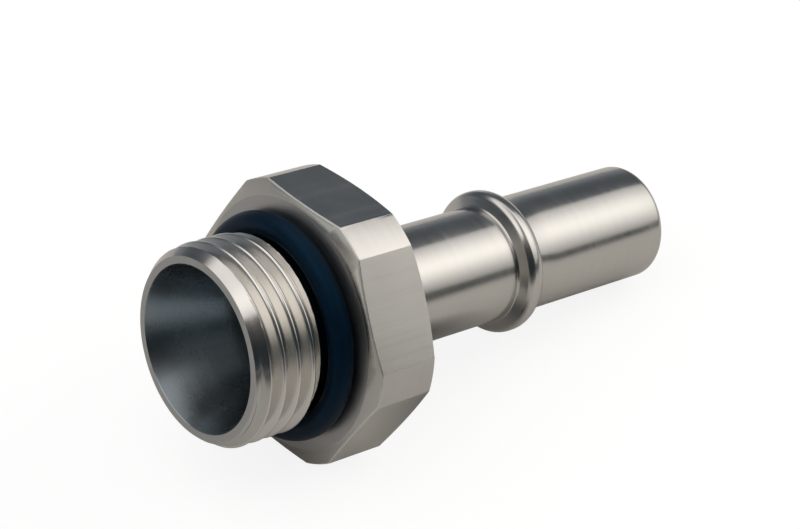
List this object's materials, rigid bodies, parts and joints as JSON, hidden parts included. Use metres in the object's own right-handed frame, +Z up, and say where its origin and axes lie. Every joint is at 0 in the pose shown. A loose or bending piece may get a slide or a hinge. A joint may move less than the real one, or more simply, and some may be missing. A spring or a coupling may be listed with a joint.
{
  "type": "quick connect adapter fitting",
  "caption": "Straight metal adapter with a threaded stud, sealing ring, spanner hexagon and a beaded quick connect spigot, bored right through.",
  "frame": {"origin": "bottom centre of the bounding box, on the surface that the fitting lies on", "axes": "+Z up; +X runs in plan from the threaded mouth to the spigot's tip. The turned axis lies in the XZ plane and dips 10.46 degrees below +X, because the fitting rests on the hexagon's rear edge and the tip."},
  "size_m": [0.062, 0.03, 0.0286],
  "materials": {
    "turned_steel": "machined, with fine turning marks",
    "black_rubber": "smooth moulded"
  },
  "bodies": {
    "root": {"adapter_body": "turned_steel", "o_ring": "black_rubber"}
  },
  "joints": []
}
